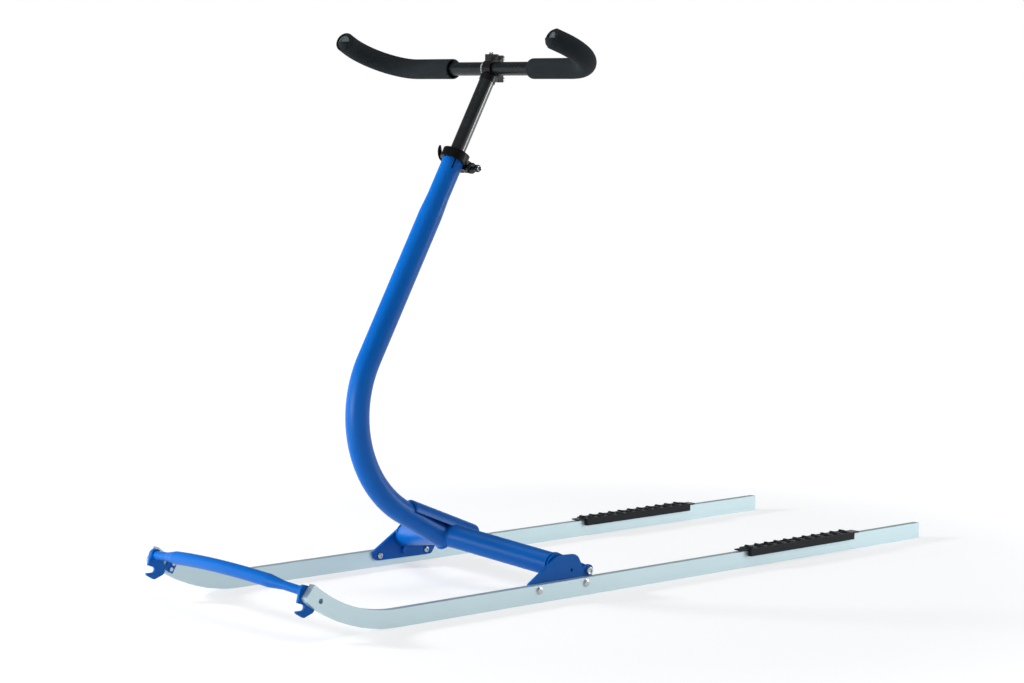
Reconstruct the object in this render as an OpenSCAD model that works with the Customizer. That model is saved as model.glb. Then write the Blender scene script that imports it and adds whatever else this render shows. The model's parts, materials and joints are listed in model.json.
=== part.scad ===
// Kick sled: two long runners with foot pads, a folding frame and a curved
// handlebar stem. Millimetres, +Z up, the front of the sled faces -Y.

/* [View] */

/* [Runners] */
// Distance between the centre lines of the two runners.
runner_spacing = 460; // [400:1:520]
// Length of runner that lies flat, from the start of the nose to the tail.
runner_flat = 1400; // [1200:5:1500]
// Width of the runner bar.
runner_w = 14; // [12:1:18]
// Height of the runner bar.
runner_h = 32; // [28:1:38]
// Radius of the nose, under the runner.
nose_r = 310; // [260:5:380]
// Angle that the nose rises through.
nose_angle = 39.5; // [34:0.5:44]
// Rounding of the lowest corner of the nose.
nose_round = 8; // [4:1:12]
// Radius of the tow hole through each nose.
tow_hole_r = 4.5; // [3.5:0.5:6]
// Distance of the tow hole from the end of the nose, along the bar.
tow_hole_in = 28; // [24:1:34]

/* [Foot pads] */
// Length of the pad, without its end lips.
pad_len = 306; // [260:2:340]
// Distance from the tail to the rear end of the pad.
pad_tail_gap = 215; // [180:5:260]
// Width of the pad.
pad_w = 32; // [28:1:40]
// Thickness of the pad's top.
pad_top = 5; // [4:0.5:7]
// How far the pad's sides reach down beside the runner.
pad_skirt = 10; // [8:1:14]
// Length of the thin lip at each end of the pad.
lip_len = 20; // [14:1:26]
// Thickness of the lip.
lip_t = 2.5; // [2:0.5:3.5]
// Height of the ice cleats on the pad.
cleat_h = 3; // [2:0.5:4]
// Number of cleats along the pad, in each of two rows.
cleat_count = 11; // [9:1:12]
// Length of a cleat along the pad.
cleat_l = 14; // [10:1:18]
// Width of a cleat.
cleat_w = 12; // [8:0.5:13]
// Distance between the middle lines of the two rows of cleats.
row_gap = 16; // [15:0.5:18]
// How far the outer row lies ahead of the inner row.
cleat_shift = 8; // [4:1:12]
// How far the lips are set in from the pad's sides.
lip_inset = 5; // [3:0.5:7]
// How far the top of the lips lies below the top of the pad.
lip_down = 1; // [0.5:0.5:2]

/* [Hinge brackets] */
// Thickness of every bracket plate.
plate_t = 5; // [4:0.5:6]
// Height of the hinge pin above the floor.
hinge_z = 41; // [39:1:46]
// Distance from the tail to the hinge pin.
hinge_tail_gap = 935; // [900:5:980]
// Radius of the hinge pin.
hinge_r = 4; // [3:0.5:5]
// Distance between the two bolts of a bracket.
bolt_gap = 116; // [104:1:124]
// Distance from the hinge pin forward to the rear bolt.
bolt_back = 19; // [15:1:20]
// Height of the bolts above the floor.
bolt_z = 22; // [18:1:23]
// Radius of the bracket bolts.
bolt_r = 3; // [2.5:0.5:3.5]
// Radius of the bolt heads and nuts.
nut_r = 5.8; // [5:0.1:6]
// Thickness of the bolt heads inside the brackets.
bolt_head_t = 4; // [3:0.5:5]
// Thickness of the nuts outside the runners.
nut_t = 3; // [2:0.5:4]
// Radius of the hinge pin's heads.
pin_head_r = 7; // [6.5:0.5:9]
// Thickness of the hinge pin's heads.
pin_head_t = 5; // [3:0.5:6]
// Radius of the bracket's round boss about the hinge pin.
boss_r = 11.5; // [10:0.5:13]
// Radius of the round toe of the bracket.
toe_r = 12; // [10:0.5:13]
// Radius of the bracket's humped top.
hump_r = 20; // [16:1:24]
// Distance from the hinge pin forward to the rear and front rounds of the hump.
hump_back = 41; // [36:1:46]
hump_fwd = 71; // [64:1:76]
// Height of the middle of the hump's rounds above the hinge pin.
hump_up = 16; // [12:1:20]
// Radius of the end plate's round about the hinge pin.
plate_eye_r = 9; // [8:0.5:11]
// Width of the end plate round the end of the cross tube.
plate_rim = 1; // [0.5:0.5:3]
// Radius of the stud that the end plate rests on.
stop_r = 7; // [5:0.5:8]
// Radius of the lock hole through bracket and end plate.
lock_r = 3; // [2:0.5:4]
// Distance from the hinge pin forward to the lock hole.
lock_fwd = 43; // [38:1:48]
// Height of the lock hole above the hinge pin.
lock_up = 6; // [4:1:8]
// Gap between a bracket and the end plate that folds past it.
fold_gap = 1; // [0.8:0.1:2]

/* [Cross tube] */
// Radius of the cross tube.
cross_r = 22; // [20:0.5:24]
// Height of the cross tube's ends above the floor.
cross_end_z = 58; // [56:1:62]
// Distance from the hinge pin forward to the cross tube's ends.
cross_end_fwd = 75; // [68:1:80]
// How far the middle of the tube lies ahead of its ends.
cross_sweep = 87; // [80:1:94]
// How far the middle of the tube lies above its ends.
cross_rise = 41; // [38:1:44]
// Bend radius in the middle of the cross tube.
cross_bend_r = 90; // [80:5:100]

/* [Stem] */
// Lean of the upper stem, from upright towards the rear.
stem_lean = 29; // [27:0.5:31]
// Slope of the lower end of the stem, below level.
stem_dive = 30; // [28:0.5:32]
// Bend radius of the stem.
stem_bend_r = 210; // [200:1:216]
// Radius of the lower stem.
stem_r = 22; // [21:0.5:23]
// Radius of the stem above its shoulder.
stem_top_r = 20; // [19:0.5:20.5]
// Straight length of the stem below its bend.
stem_low_len = 118.5; // [110:0.5:126]
// How far the stem's axis passes under the middle of the cross tube.
stem_seat = 6.4; // [4:0.1:9]
// Straight length of the stem above its bend.
stem_straight = 419; // [400:1:460]
// Length from the shoulder to the top of the stem.
stem_neck = 87; // [76:1:100]
// Length of the tapered shoulder.
shoulder_len = 37; // [30:1:44]
// Length of the slit below the seat collar.
slit_len = 20; // [14:1:26]
// Width of the slit.
slit_w = 3; // [2:0.5:4]
// Angle of the slit round the stem, from the left side towards the front.
slit_angle = 30; // [20:5:60]
// Depth of the bore that the post slides in.
stem_bore_depth = 300; // [290:5:320]
// Radius of the saddle shell over the joint of stem and cross tube.
saddle_r = 25; // [24.5:0.5:27]
// Thickness of the saddle shell.
saddle_t = 2.4; // [2:0.1:2.4]
// Length of the saddle shell.
saddle_len = 163; // [150:1:175]
// Slope of the saddle shell, below level.
saddle_dive = 22; // [20:0.5:24]
// How far the saddle shell's axis passes above the middle of the cross tube.
saddle_rise = 11.6; // [10:0.1:13]
// Length of the saddle shell ahead of the middle of the cross tube.
saddle_fwd = 104; // [98:1:110]
// Height of the saddle shell from its lower edges to its top.
saddle_deep = 20; // [16:1:24]

/* [Post and clamp] */
// Radius of the sliding post.
post_r = 14.3; // [13.5:0.1:14.8]
// Running clearance round the post and round the bar.
fit_gap = 0.05; // [0.02:0.01:0.1]
// Distance from the top of the stem up to the handlebar.
bar_up = 180; // [165:1:200]
// Length of post inside the stem.
post_in = 170; // [140:5:180]
// Distance from the handlebar's middle down to the top of the post.
post_drop = 18; // [17.5:0.5:20]
// Width of the clamp's round barrel.
clamp_w = 22; // [20:1:26]
// Radius of the clamp's round barrel.
clamp_r = 17; // [16:0.5:18.5]
// Wall of the clamp's neck round the post.
neck_t = 1.2; // [1:0.1:3]
// Length of the neck, from the handlebar's middle down.
neck_len = 27; // [25:1:32]
// Width of the clamp's block and of the cap's ears.
block_w = 18; // [14:1:20]
// How far the block reaches ahead of, above and below the handlebar's middle.
block_fwd = 10; // [8:1:14]
block_up = 27; // [26:0.5:30]
block_down = 25; // [24:0.5:26]
// Distance from the handlebar's middle back to the joint of block and cap.
split_back = 8; // [7.5:0.5:9]
// Width of the joint between block and cap.
split_gap = 1; // [0.6:0.1:1.2]
// How far the cap's ears reach behind the handlebar's middle.
ear_back = 20; // [18:0.5:24]
// Height of the ears' inner faces above and below the handlebar's middle.
ear_from = 12; // [10:0.5:13]
// Height of the clamp's two bolts above and below the handlebar's middle.
cap_bolt_z = 19.5; // [19:0.5:20.5]
// Radius of the cap bolts.
cap_bolt_r = 2.5; // [2:0.5:3]
// Radius of the cap bolts' heads.
cap_head_r = 4.5; // [4:0.5:5]
// Thickness of the cap bolts' heads.
cap_head_t = 8; // [5:0.5:9]
// Radius of the ring beside the clamp.
ring_r = 16; // [15:0.5:17]
// Width of the ring.
ring_w = 5.5; // [4:0.5:8]

/* [Seat collar] */
// Height of the seat collar.
collar_h = 18; // [16:1:24]
// Wall of the seat collar.
collar_t = 5.5; // [4:0.5:6]
// How far the collar rises above the top of the stem.
collar_lid = 4; // [3:0.5:6]
// Gap between the collar's lid and the post.
lid_gap = 0.7; // [0.5:0.1:2]
// Width of the collar's two ears together.
ear_w = 26; // [22:1:30]
// Length of the ears, from the stem's wall.
ear_len = 15; // [13:1:18]
// How far the ears hang below the collar.
ear_down = 6; // [4:1:8]
// How far the top of the ears lies below the top of the collar.
ear_top = 4; // [2:1:6]
// Width of the slot between the ears.
ear_slot = 3; // [2:0.5:4]
// Radius of the quick-release rod.
rod_r = 3; // [2.5:0.5:3.5]
// Distance of the rod from the stem's wall.
rod_out = 8; // [7.5:0.5:9]
// Height of the rod above the bottom of the collar.
rod_up = 1; // [0:0.5:3]
// Radius of the washers beside the ears.
washer_r = 5; // [4.5:0.5:5.5]
// Width of the washers.
washer_t = 6; // [5:0.5:8]
// Radius and width of the knurled nut.
knurl_r = 9; // [8:0.5:10]
knurl_w = 7; // [5:0.5:9]
// Length of the neck between the nut and the knob.
knob_neck = 7; // [4:0.5:10]
// Radius and width of the knob.
knob_r = 7; // [6:0.5:8]
knob_w = 12; // [9:0.5:14]
// Radius and width of the lever's round cam.
cam_r = 8; // [7:0.5:9]
cam_w = 8; // [6:0.5:10]
// Thickness of the lever's blade.
blade_t = 4; // [3:0.5:5]
// Radius of the blade's tip.
blade_tip_r = 4; // [3:0.5:5]
// Distance of the blade's tip behind the stem's axis, and above the collar.
blade_tip_y = 6; // [0:1:12]
blade_tip_up = 6; // [2:1:12]

/* [Handlebar] */
// Radius of the bar.
bar_r = 12.7; // [11:0.1:12.7]
// Length of the straight middle of the bar.
bar_mid = 432; // [400:2:460]
// Radius of the bends at both sides.
bar_bend_r = 85; // [75:1:95]
// Angle of each bend.
bar_bend = 108; // [95:1:112]
// Straight length after each bend.
bar_tip = 15; // [8:1:30]
// Angle at which the ends rise towards the front.
bar_rise = 23; // [15:1:30]
// Radius of the foam grips.
grip_r = 19; // [17:0.5:20]
// Distance between the inner ends of the two grips.
grip_gap = 218; // [200:2:236]

/* [Front tube and hooks] */
// Radius of the front tube.
front_r = 11.75; // [10:0.25:13]
// Radius of the front tube's slim ends.
front_end_r = 7.75; // [6.5:0.25:8.5]
// Length of the front tube's curved middle.
front_mid = 276; // [240:4:290]
// Length of each taper.
front_taper = 34; // [24:1:40]
// Slope of the tube's straight ends.
front_slope = 8.4; // [6:0.2:10]
// Angle at which the arch leans up from straight ahead.
front_lean = 38; // [20:1:60]
// Radius of the round seat of the tube.
seat_r = 11; // [10:0.5:13]
// How far the round seat stands out from the hook's plate.
seat_len = 3; // [2:0.5:8]
// Angle along the nose that the hook's plate covers.
hook_angle = 10; // [9:0.5:12]
// Half the width of the hook's plate along the nose.
hook_half = 11; // [10:0.5:13]
// Distance from the tube's seat down to the middle of the hook's throat.
hook_drop = 26.5; // [25:0.5:30]
// Distance from the tube's seat forward to the middle of the throat.
hook_fwd = 6.5; // [4:0.5:9]
// Radius of the hook's throat.
throat_r = 5.5; // [4.5:0.5:6]
// Radius of the hook's lower bow, and of its tip.
bow_r = 7; // [6:0.5:8]
tip_r = 4; // [3:0.5:5]
// Distance of the hook's tip ahead of the middle of the throat.
tip_fwd = 8; // [6:0.5:12]
// Radius of the small screws behind the tow hole, and of their heads.
screw_r = 2; // [1.5:0.5:2.5]
screw_head_r = 3.5; // [3:0.5:4]
// Thickness of the screws' heads.
screw_head_t = 3; // [2:0.5:4]
// Distance of each screw from the middle of the nose.
screw_off = 5.5; // [5:0.5:6.5]
// Distance of the screws behind the tow hole, along the nose.
screw_back = 15.5; // [12:0.5:17]

/* [Hidden] */

$fn = 64;
// Clearance of welded and pressed pieces, and of a piece at rest on its stop.
weld_gap = 0.1;
rest_gap = 0.3;
// Straight tubes reach this far into their bends, and are this much slimmer.
lap = 1;
lap_step = 0.1;

// Layers inside a runner: bracket plate, fold gap, end plate.
runner_x = runner_spacing / 2;
inner_x = runner_x - runner_w / 2;
outer_x = runner_x + runner_w / 2;
bracket_x = inner_x - plate_t;
end_plate_x = bracket_x - fold_gap - plate_t;

// Front tube: an arch between the two hooks, and how far it reaches ahead of the flat runner.
front_x = bracket_x - seat_len;
front_arch_r = front_mid / 2 / sin(front_slope);
front_drop = front_arch_r * (1 - cos(front_slope));
front_bulge = front_drop + (front_x - front_mid / 2) * tan(front_slope);
front_reach = (nose_r - runner_h / 2) * sin(nose_angle) + front_bulge * cos(front_lean) + front_r;

// Along the sled, with the origin under the middle of its length.
tail_y = (runner_flat + front_reach) / 2;
nose_y = tail_y - runner_flat;
hinge_y = tail_y - hinge_tail_gap;
pad_y1 = tail_y - pad_tail_gap;
pad_y0 = pad_y1 - pad_len;

// Cross tube: a flat bent tube, tilted down towards its ends.
cross_end = [end_plate_x, hinge_y - cross_end_fwd, cross_end_z];
cross_tilt = atan2(cross_rise, cross_sweep);
cross_reach = norm([cross_sweep, cross_rise]);
cross_half = atan2(cross_reach, end_plate_x);
cross_tangent = cross_bend_r * tan(cross_half);
cross_leg = norm([cross_reach, end_plate_x]);
cross_peak = [0, cross_end.y - cross_sweep, cross_end_z + cross_rise];
cross_sag = cross_bend_r * (1 / cos(cross_half) - 1);

// Stem: lower straight, bend, upper straight, all in the middle plane.
cross_mid = [cross_peak.y + cross_sag * cos(cross_tilt), cross_peak.z - cross_sag * sin(cross_tilt)];
stem_foot = [cross_mid.x - stem_seat * sin(stem_dive), cross_mid.y - stem_seat * cos(stem_dive)];
bend_end = [stem_foot.x - stem_low_len * cos(stem_dive), stem_foot.y + stem_low_len * sin(stem_dive)];
bend_c = [bend_end.x + stem_bend_r * sin(stem_dive), bend_end.y + stem_bend_r * cos(stem_dive)];
bend_start = [bend_c.x - stem_bend_r * cos(stem_lean), bend_c.y + stem_bend_r * sin(stem_lean)];
bar_c = up_stem(stem_straight + bar_up);
bore_r = post_r + fit_gap;

// Saddle: its axis starts on top of the stem and runs down to the rear.
saddle_start = [cross_mid.x + saddle_rise * sin(saddle_dive) - saddle_fwd * cos(saddle_dive),
    cross_mid.y + saddle_rise * cos(saddle_dive) + saddle_fwd * sin(saddle_dive)];

// The round seat of the front tube, beside the end of the nose.
seat_at = nose_point(nose_r - runner_h / 2, nose_angle);

// A point in the middle plane at distance s up the stem from its bend.
function up_stem(s) = [bend_start.x + s * sin(stem_lean), bend_start.y + s * cos(stem_lean)];
// A point beside the nose at radius r and angle a of its arc.
function nose_point(r, a) = [nose_y - r * sin(a), nose_r - r * cos(a)];
// Heading of the belt's outward side between two circles [y, z, r].
function heading(a, b) = atan2(b.y - a.y, b.x - a.x) - acos((a[2] - b[2]) / norm([b.x - a.x, b.y - a.y]));
// Outline of a belt laid round circles [y, z, r], listed anticlockwise.
function belt(c) = [for (i = [0:len(c) - 1])
    let (q = c[i], last = c[(i + len(c) - 1) % len(c)], next = c[(i + 1) % len(c)],
        a0 = heading(last, q), turn = (heading(q, next) - a0 + 720) % 360,
        steps = max(1, ceil(turn / 12)))
    for (k = [0:steps]) [q.x + q[2] * cos(a0 + turn * k / steps), q.y + q[2] * sin(a0 + turn * k / steps)]];

// Outline of a curved bar beside the nose, between two radii and two angles.
function nose_band(r0, r1, a0, a1) = concat(
    [for (k = [0:20]) nose_point(r0, a0 + (a1 - a0) * k / 20)],
    [for (k = [20:-1:0]) nose_point(r1, a0 + (a1 - a0) * k / 20)]);
// Outline of a whole runner, with the lowest corner of the nose rounded.
function runner_outline() = concat(
    [[tail_y, 0], [tail_y, runner_h]],
    [for (k = [0:20]) nose_point(nose_r - runner_h, nose_angle * k / 20)],
    [for (k = [0:6]) nose_corner(15 * k)],
    [for (k = [0:19]) nose_point(nose_r, (nose_angle - round_angle()) * (1 - k / 19))]);
function round_angle() = nose_round / nose_r * 180 / PI;
// Point a degrees round the corner, from the end face to the underside.
function nose_corner(a) =
    let (c = nose_point(nose_r - nose_round, nose_angle - round_angle()), d = a - nose_angle)
    [c.x - nose_round * cos(d), c.y - nose_round * sin(d)];

// Stands an outline drawn in Y and Z on the plane at x, thick towards +X.
module plate(x, t, outline) {
    translate([x, 0, 0])
        rotate([90, 0, 90])
            linear_extrude(t)
                polygon(outline);
}

// A round bar along X through the point [y, z].
module bar_x(at, r, x0, x1) {
    translate([x0, at.x, at.y])
        rotate([0, 90, 0])
            cylinder(r = r, h = x1 - x0);
}

// Puts its children at distance s up the stem, Z along the stem.
module on_stem(s) {
    translate([0, up_stem(s).x, up_stem(s).y])
        rotate([-stem_lean, 0, 0])
            children();
}

// Draws its children on the left side, or mirrored on the right.
module side(s) {
    if (s > 0) children();
    else mirror([1, 0, 0]) children();
}

module runner(s) {
    color("#b9cad2") side(s)
        difference() {
            plate(inner_x, runner_w, runner_outline());
            bar_x(nose_point(nose_r - runner_h / 2, hole_angle()), tow_hole_r, inner_x - 1, outer_x + 1);
            for (p = bolt_points())
                bar_x(p, bolt_r + weld_gap, inner_x - 1, outer_x + 1);
        }
}

function hole_angle() = nose_angle - tow_hole_in / (nose_r - runner_h / 2) * 180 / PI;

module foot_pad(s) {
    pitch = pad_len / cleat_count;
    top = runner_h + pad_top;
    color("#2b2d31") side(s) {
        difference() {
            translate([runner_x - pad_w / 2, pad_y0, runner_h - pad_skirt])
                cube([pad_w, pad_len, pad_skirt + pad_top]);
            translate([inner_x - weld_gap, pad_y0 - 1, -1])
                cube([runner_w + 2 * weld_gap, pad_len + 2, runner_h + 1]);
        }
        for (y = [pad_y0 - lip_len, pad_y1])
            translate([runner_x - pad_w / 2 + lip_inset, y, top - lip_t - lip_down])
                cube([pad_w - 2 * lip_inset, lip_len, lip_t]);
        for (i = [0:cleat_count - 1], row = [-1, 1])
            plate(runner_x + (row * row_gap - cleat_w) / 2, cleat_w,
                cleat_side(pad_y0 + (i + 0.5) * pitch - row * cleat_shift / 2, top));
    }
}

// Side view of a cleat: a tooth with a steep front and a long rear slope.
function cleat_side(y, z) = [[y - cleat_l / 2, z - lap], [y + cleat_l / 2, z - lap], [y + cleat_l / 2, z],
    [y - cleat_l / 8, z + cleat_h], [y - cleat_l * 3 / 8, z + cleat_h], [y - cleat_l / 2, z]];

// Circles of the bracket's outline, as [y, z, radius]: its sole, hump and toe.
bracket_sole = [hinge_y - boss_r, bolt_z, nut_r + 4.5];
bracket_circles = [
    bracket_sole,
    [hinge_y - hump_back, hinge_z + hump_up - 1, hump_r],
    [hinge_y - hump_fwd, hinge_z + hump_up, hump_r],
    [hinge_y - bolt_back - bolt_gap - 4, bolt_z + 3, toe_r]];

module hinge_bracket(s) {
    color("#0d5bb5") side(s)
        difference() {
            union() {
                plate(bracket_x, plate_t, belt(bracket_circles));
                plate(bracket_x, plate_t, belt([bracket_sole, [hinge_y, hinge_z, boss_r],
                    [hinge_y - 2 * boss_r, hinge_z - boss_r / 2, boss_r]]));
                bar_x([cross_end.y, cross_end.z - plate_r() - rest_gap - stop_r],
                    stop_r, end_plate_x, bracket_x);
            }
            for (p = bolt_points())
                bar_x(p, bolt_r + weld_gap, bracket_x - 1, inner_x + 1);
            bar_x([hinge_y, hinge_z], hinge_r + weld_gap, bracket_x - 1, inner_x + 1);
            bar_x(lock_at(), lock_r, bracket_x - 1, inner_x + 1);
        }
}

// Radius of the round of the end plate about the tube's end.
function plate_r() = cross_r + plate_rim;
// The lock hole lies between the tube's end and the hinge pin.
function lock_at() = [hinge_y - lock_fwd, hinge_z + lock_up];
// The two bolts of a bracket, as [y, z].
function bolt_points() = [for (k = [0, 1]) [hinge_y - bolt_back - k * bolt_gap, bolt_z]];

module bracket_bolts() {
    color("#b8bcc0")
        for (s = [-1, 1])
            side(s)
                for (p = bolt_points()) {
                    bar_x(p, bolt_r, bracket_x - bolt_head_t, outer_x + nut_t);
                    bar_x(p, nut_r, bracket_x - bolt_head_t, bracket_x);
                    bar_x(p, nut_r, outer_x, outer_x + nut_t);
                }
}

module hinge_pins() {
    head_x = end_plate_x - rest_gap;
    color("#b8bcc0")
        for (s = [-1, 1])
            side(s) {
                bar_x([hinge_y, hinge_z], hinge_r, head_x - pin_head_t / 2, inner_x + pin_head_t / 2);
                bar_x([hinge_y, hinge_z], pin_head_r, head_x - pin_head_t, head_x);
                bar_x([hinge_y, hinge_z], pin_head_r, inner_x, inner_x + pin_head_t);
            }
}

module front_tube() {
    taper_x = front_mid / 2;
    color("#0d5bb5")
        intersection() {
            translate([0, seat_at.x, seat_at.y])
                rotate([-front_lean, 0, 0])
                    translate([0, -front_bulge, 0]) {
                        translate([0, front_arch_r, 0])
                            rotate([0, 0, -90 - front_slope])
                                rotate_extrude(angle = 2 * front_slope, $fn = 360)
                                    translate([front_arch_r, 0])
                                        circle(front_r);
                        for (s = [-1, 1])
                            side(s)
                                translate([taper_x, front_drop, 0])
                                    rotate([0, 0, front_slope])
                                        rotate([0, 90, 0])
                                            front_end();
                    }
            translate([-front_x, seat_at.x - 200, 0])
                cube([2 * front_x, 400, 400]);
        }
}

// A tapered end of the front tube, from its arch outward.
module front_end() {
    r = front_r - lap_step;
    rotate_extrude()
        polygon([[0, -lap], [r, -lap], [r, 0], [front_end_r, front_taper],
            [front_end_r, front_x], [0, front_x]]);
}

module front_hook(s) {
    mid_r = nose_r - runner_h / 2;
    throat = [seat_at.x - hook_fwd, seat_at.y - hook_drop];
    color("#0d5bb5") side(s)
        difference() {
            union() {
                bar_x(seat_at, seat_r, front_x, inner_x);
                plate(bracket_x, plate_t,
                    nose_band(mid_r + hook_half, mid_r - hook_half, nose_angle - hook_angle, nose_angle));
                plate(bracket_x, plate_t, belt([
                    [throat.x - tip_fwd, throat.y - throat_r - 1, tip_r],
                    [throat.x + 4.5, throat.y - throat_r - 5, bow_r],
                    [throat.x + hook_fwd + 12, throat.y - throat_r + 1, bow_r + 1],
                    [seat_at.x, seat_at.y, seat_r]]));
            }
            plate(bracket_x - 1, plate_t + 2, belt([
                [throat.x - 5 * throat_r, throat.y + throat_r, throat_r + 4],
                [throat.x, throat.y, throat_r]]));
            bar_x(nose_point(mid_r, hole_angle()), tow_hole_r, bracket_x - 1, inner_x + 1);
            for (p = screw_points())
                bar_x(p, screw_r + weld_gap, bracket_x - 1, inner_x + 1);
        }
}

// Two small screws behind the tow hole, as [y, z].
function screw_points() =
    [for (k = [-1, 1]) nose_point(nose_r - runner_h / 2 + k * screw_off, screw_angle())];
function screw_angle() = nose_angle - (tow_hole_in + screw_back) / (nose_r - runner_h / 2) * 180 / PI;

module hook_screws() {
    color("#b8bcc0")
        for (s = [-1, 1])
            side(s)
                for (p = screw_points()) {
                    bar_x(p, screw_head_r, bracket_x - screw_head_t, bracket_x);
                    bar_x(p, screw_r, bracket_x - screw_head_t, inner_x);
                }
}

// The bend in the middle of the cross tube, with radius r.
module cross_bend(r) {
    translate(cross_peak)
        rotate([-cross_tilt, 0, 0])
            translate([0, cross_sag + cross_bend_r, 0])
                rotate([0, 0, -90 - cross_half])
                    rotate_extrude(angle = 2 * cross_half, $fn = 180)
                        translate([cross_bend_r, 0])
                            circle(r);
}

module cross_tube() {
    color("#0d5bb5")
        intersection() {
            union() {
                cross_bend(cross_r);
                translate(cross_peak)
                    rotate([-cross_tilt, 0, 0])
                        for (s = [-1, 1])
                            side(s)
                                rotate([0, 0, cross_half])
                                    translate([cross_tangent - lap, 0, 0])
                                        rotate([0, 90, 0])
                                            cylinder(r = cross_r - lap_step,
                                                h = cross_leg + cross_r - cross_tangent);
            }
            translate([-end_plate_x, cross_peak.y - 100, 0])
                cube([2 * end_plate_x, 400, 400]);
        }
}

module end_plate(s) {
    color("#0d5bb5") side(s)
        difference() {
            plate(end_plate_x, plate_t, belt([
                [hinge_y, hinge_z, plate_eye_r],
                [cross_end.y, cross_end.z, plate_r()]]));
            bar_x([hinge_y, hinge_z], hinge_r + fit_gap, end_plate_x - 1, bracket_x + 1);
            bar_x(lock_at(), lock_r, end_plate_x - 1, bracket_x + 1);
        }
}

module stem() {
    neck_at = stem_straight - stem_neck;
    r = stem_r - lap_step;
    color("#0d5bb5")
        difference() {
            union() {
                on_stem(0)
                    rotate_extrude()
                        polygon([[0, -lap], [r, -lap], [r, neck_at - shoulder_len], [stem_top_r, neck_at],
                            [stem_top_r, stem_straight], [0, stem_straight]]);
                translate([0, bend_c.x, bend_c.y])
                    rotate([90, 0, 90])
                        rotate([0, 0, 180 - stem_lean])
                            rotate_extrude(angle = 90 + stem_lean - stem_dive, $fn = 180)
                                translate([stem_bend_r, 0])
                                    circle(stem_r);
                translate([0, bend_end.x, bend_end.y])
                    rotate([-90 - stem_dive, 0, 0])
                        translate([0, 0, -lap])
                            cylinder(r = r, h = stem_low_len + lap);
            }
            on_stem(stem_straight - stem_bore_depth)
                cylinder(r = bore_r, h = stem_bore_depth + 1);
            on_stem(stem_straight + collar_lid - collar_h - slit_len)
                rotate([0, 0, -slit_angle])
                    translate([bore_r - 2, -slit_w / 2, 0])
                        cube([stem_top_r, slit_w, slit_len + collar_h]);
            cross_bend(cross_r + weld_gap);
        }
}

module saddle() {
    color("#0d5bb5")
        difference() {
            translate([0, saddle_start.x, saddle_start.y])
                rotate([-90 - saddle_dive, 0, 0])
                    difference() {
                        cylinder(r = saddle_r, h = saddle_len);
                        translate([0, 0, -1])
                            cylinder(r = saddle_r - saddle_t, h = saddle_len + 2);
                        translate([-50, saddle_deep - saddle_r, -1])
                            cube([100, 100, saddle_len + 2]);
                    }
            cross_bend(cross_r + weld_gap);
        }
}

// Puts its children on the stem at the bottom of the collar.
module on_collar() {
    on_stem(stem_straight + collar_lid - collar_h)
        children();
}

// Inner radius of the collar, and the quick-release rod in it as [y, z].
collar_r = stem_top_r + weld_gap;
rod_at = [collar_r + rod_out, rod_up];

module seat_collar() {
    color("#1c1d1f")
        on_collar()
            difference() {
                union() {
                    cylinder(r = collar_r + collar_t, h = collar_h);
                    translate([-ear_w / 2, collar_r + weld_gap, -ear_down])
                        cube([ear_w, ear_len, ear_down + collar_h - ear_top]);
                }
                translate([0, 0, -1])
                    cylinder(r = collar_r, h = collar_h - collar_lid + 1);
                cylinder(r = post_r + lid_gap, h = collar_h + 1);
                translate([-ear_slot / 2, 0, -ear_down - 1])
                    cube([ear_slot, 2 * stem_top_r + ear_len, ear_down + collar_h + 2]);
                bar_x(rod_at, rod_r + weld_gap, -ear_w, ear_w);
            }
}

module collar_lever() {
    face = ear_w / 2 + weld_gap;
    nut_x = face + washer_t;
    knob_x = nut_x + knurl_w + knob_neck;
    color("#232427")
        on_collar() {
            bar_x(rod_at, rod_r, -nut_x - cam_w / 2, knob_x + 1);
            bar_x(rod_at, washer_r, -nut_x - 1, -face);
            bar_x(rod_at, washer_r, face, nut_x + 1);
            bar_x(rod_at, knurl_r, nut_x, nut_x + knurl_w);
            bar_x(rod_at, cam_r, -nut_x - cam_w, -nut_x);
            translate([knob_x, rod_at.x, rod_at.y])
                rotate([0, 90, 0])
                    rotate_extrude()
                        polygon([[0, 0], [knob_r - 2, 0], [knob_r, knob_w / 4], [knob_r, knob_w * 3 / 4],
                            [knob_r - 2, knob_w], [0, knob_w]]);
            plate(-nut_x - cam_w - blade_t + lap, blade_t, belt([
                [rod_at.x, rod_at.y, cam_r - 0.5],
                [blade_tip_y, collar_h + blade_tip_up, blade_tip_r]]));
        }
}

module post() {
    color("#1f2123")
        on_stem(stem_straight - post_in)
            cylinder(r = post_r, h = post_in + bar_up - post_drop);
}

// Puts its children level at the middle of the handlebar.
module on_clamp() {
    translate([0, bar_c.x, bar_c.y])
        children();
}

// The two bolts that draw the cap to the block, with radius r, from y0 to y1.
module cap_bolt_pair(r, y0, y1) {
    for (z = [-cap_bolt_z, cap_bolt_z])
        translate([0, y1, z])
            rotate([90, 0, 0])
                cylinder(r = r, h = y1 - y0);
}

// The bolts end short of the post, which reaches up to post_drop.
bolt_end = split_back - 5;

module clamp_body() {
    color("#26282b")
        on_clamp()
            difference() {
                union() {
                    bar_x([0, 0], clamp_r, -clamp_w / 2, clamp_w / 2);
                    translate([-block_w / 2, -block_fwd, -block_down])
                        cube([block_w, block_fwd + split_back, block_down + block_up]);
                    rotate([-stem_lean, 0, 0])
                        translate([0, 0, -neck_len])
                            cylinder(r = post_r + neck_t, h = neck_len - ring_r - rest_gap);
                }
                bar_x([0, 0], bar_r + fit_gap, -clamp_w, clamp_w);
                rotate([-stem_lean, 0, 0])
                    translate([0, 0, -neck_len - 1])
                        cylinder(r = post_r + weld_gap, h = neck_len + 1 - post_drop + weld_gap);
                translate([-50, split_back - split_gap / 2, -50])
                    cube(100);
                cap_bolt_pair(cap_bolt_r + weld_gap, bolt_end - weld_gap, ear_back);
            }
}

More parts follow.
